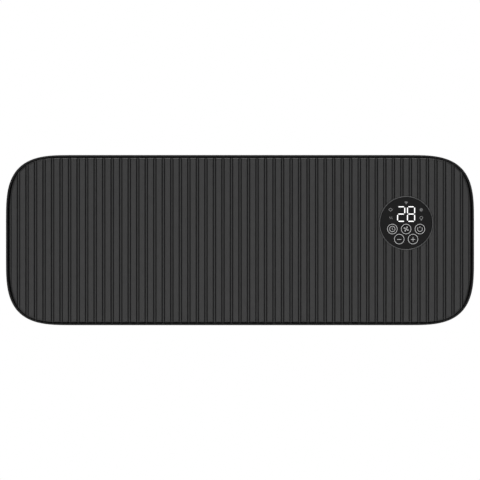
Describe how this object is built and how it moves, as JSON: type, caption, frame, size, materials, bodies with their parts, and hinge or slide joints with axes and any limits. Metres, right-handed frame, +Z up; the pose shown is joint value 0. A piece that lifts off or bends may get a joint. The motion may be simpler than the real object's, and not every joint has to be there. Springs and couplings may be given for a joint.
{
  "type": "wall-mounted fan heater",
  "caption": "Wall-mounted ceramic fan heater: fluted charcoal front with rounded corners, round touch display, top intake, swinging bottom louvre, hung on a steel bracket.",
  "frame": {"origin": "centre of the wall bracket's back face, on the wall plane", "axes": "+X along the heater's length, to the right as seen from the room; +Y into the wall; +Z up. The front panel faces -Y"},
  "size_m": [0.55, 0.118, 0.2],
  "materials": {
    "charcoal_plastic": "fine grained moulded ABS, charcoal",
    "case_plastic": "matt grained ABS, near black",
    "black_plastic": "moulded, semi-matt black",
    "lens_black": "polished black acrylic with printed symbols",
    "bezel_metal": "satin grey ring",
    "filter_mesh": "fine woven nylon mesh",
    "steel": "zinc plated",
    "aluminium": "mill finish",
    "brass": "bright",
    "copper_winding": "enamelled copper wire",
    "rubber": "matt",
    "board_green": "solder mask",
    "white_plastic": "moulded, off white",
    "cable_grey": "insulated lead",
    "led_white": "lit white display"
  },
  "bodies": {
    "bracket": {"wall_bracket": "steel"},
    "heater": {"front_panel": "charcoal_plastic", "front_housing": "case_plastic", "rear_cover": "case_plastic", "control_lens": "lens_black", "lens_bezel": "bezel_metal", "display_housing": "black_plastic", "display_board": "board_green", "led_display": "led_white", "fan_scroll": "black_plastic", "duct_front_wall": "black_plastic", "duct_cheek_left": "black_plastic", "duct_cheek_right": "black_plastic", "guard_grille": "black_plastic", "motor_can": "steel", "motor_stator": "copper_winding", "motor_end_plate": "steel", "motor_bracket": "steel", "bearing_bush": "brass", "bearing_holder": "rubber", "ptc_core": "aluminium", "ptc_holder_left": "white_plastic", "ptc_holder_right": "white_plastic", "ptc_terminal_live": "brass", "ptc_terminal_neutral": "brass", "thermal_cutout": "black_plastic", "thermal_fuse": "white_plastic", "louvre_stepper": "steel", "main_board": "board_green", "heater_relay_1": "black_plastic", "heater_relay_2": "black_plastic", "supply_capacitor": "white_plastic", "terminal_block": "white_plastic", "display_cable": "cable_grey", "heater_cable": "cable_grey", "motor_cable": "cable_grey", "power_switch": "black_plastic", "cord_gland": "rubber", "wall_pad_left": "rubber", "wall_pad_right": "rubber", "touch_spring_1": "steel", "touch_spring_2": "steel", "touch_spring_3": "steel", "touch_spring_4": "steel", "touch_spring_5": "steel", "case_screw_1": "steel", "case_screw_2": "steel", "case_screw_3": "steel", "case_screw_4": "steel", "motor_grommet_1": "rubber", "motor_grommet_2": "rubber", "motor_grommet_3": "rubber"},
    "cassette": {"intake_grille": "case_plastic", "dust_filter": "filter_mesh"},
    "fan": {"impeller": "black_plastic", "fan_shaft": "steel", "motor_rotor": "aluminium"},
    "louvre": {"louvre_blade": "black_plastic", "stepper_shaft": "brass"},
    "rocker": {"rocker_paddle": "black_plastic"}
  },
  "joints": [
    {"name": "heater_lift", "type": "slide", "parent": "bracket", "child": "heater", "axis": [0, 0, 1], "range_m": [0, 0.011]},
    {"name": "cassette_pull", "type": "slide", "parent": "heater", "child": "cassette", "axis": [0, 0, 1], "range_m": [0, 0.014]},
    {"name": "fan_spin", "type": "hinge", "parent": "heater", "child": "fan", "pos_m": [0, -0.058, 0.028], "axis": [1, 0, 0], "continuous": true},
    {"name": "louvre_swing", "type": "hinge", "parent": "heater", "child": "louvre", "pos_m": [0, -0.078, -0.084], "axis": [1, 0, 0], "range_deg": [0, 90]},
    {"name": "power_rocker", "type": "hinge", "parent": "heater", "child": "rocker", "pos_m": [0.267, -0.028, 0], "axis": [0, 1, 0], "range_deg": [0, 18]}
  ]
}
